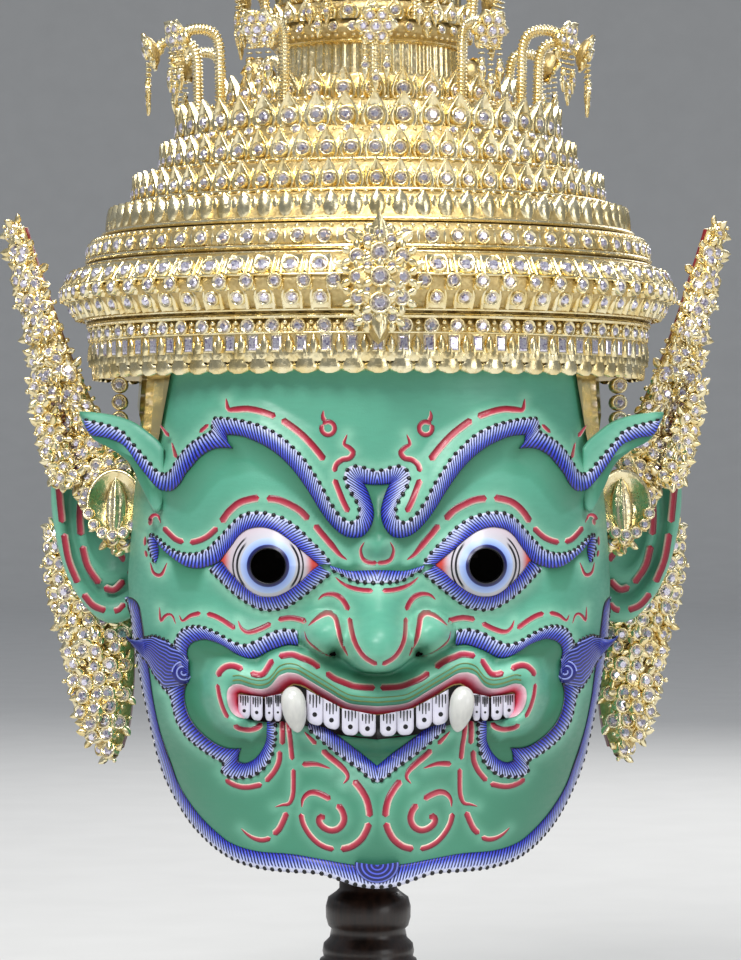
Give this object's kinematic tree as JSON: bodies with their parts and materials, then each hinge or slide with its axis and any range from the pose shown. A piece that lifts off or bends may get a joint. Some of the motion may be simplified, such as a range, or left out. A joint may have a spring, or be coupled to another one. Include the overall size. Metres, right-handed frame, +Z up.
{
  "type": "khon mask on stand",
  "caption": "Full-head demon mask with a tiered gilt crown and ear ornaments, on a turned wooden display stand.",
  "frame": {"origin": "centre of the underside of the stand's foot", "axes": "+Z up along the stand and crown, the face looks along -Y, +X to the right as one looks at the face; nodes named left are at -X"},
  "size_m": [0.3234, 0.2838, 0.7004],
  "materials": {
    "painted_papier_mache": "satin green paint with blue, red and cream lines",
    "tooth_enamel": "glossy pearl-white paint",
    "gilt": "bright gold leaf with clear stones",
    "dark_wood": "dark stained and waxed"
  },
  "bodies": {
    "root": {"head_shell": "painted_papier_mache", "ear_left": "painted_papier_mache", "ear_right": "painted_papier_mache", "front_teeth_left": "tooth_enamel", "front_teeth_right": "tooth_enamel", "middle_teeth_left": "tooth_enamel", "middle_teeth_right": "tooth_enamel", "side_teeth_left": "tooth_enamel", "side_teeth_right": "tooth_enamel", "corner_teeth_left": "tooth_enamel", "corner_teeth_right": "tooth_enamel", "tusk_left": "tooth_enamel", "tusk_right": "tooth_enamel", "temple_strip_left": "gilt", "temple_strip_right": "gilt", "ear_flare_left": "gilt", "ear_flare_right": "gilt", "ear_pendant_left": "gilt", "ear_pendant_right": "gilt", "crown_band": "gilt", "crown_front_emblem": "gilt", "crown_tiers": "gilt", "crown_drum": "gilt", "crown_spire": "gilt", "lower_flower_01": "gilt", "lower_flower_02": "gilt", "lower_flower_03": "gilt", "lower_flower_04": "gilt", "lower_flower_05": "gilt", "lower_flower_06": "gilt", "lower_flower_07": "gilt", "lower_flower_08": "gilt", "lower_flower_09": "gilt", "lower_flower_10": "gilt", "lower_flower_11": "gilt", "lower_flower_12": "gilt", "upper_flower_01": "gilt", "upper_flower_02": "gilt", "upper_flower_03": "gilt", "upper_flower_04": "gilt", "upper_flower_05": "gilt", "upper_flower_06": "gilt", "upper_flower_07": "gilt", "upper_flower_08": "gilt", "stand_foot": "dark_wood", "stand_post": "dark_wood", "stand_rest": "dark_wood"}
  },
  "joints": []
}
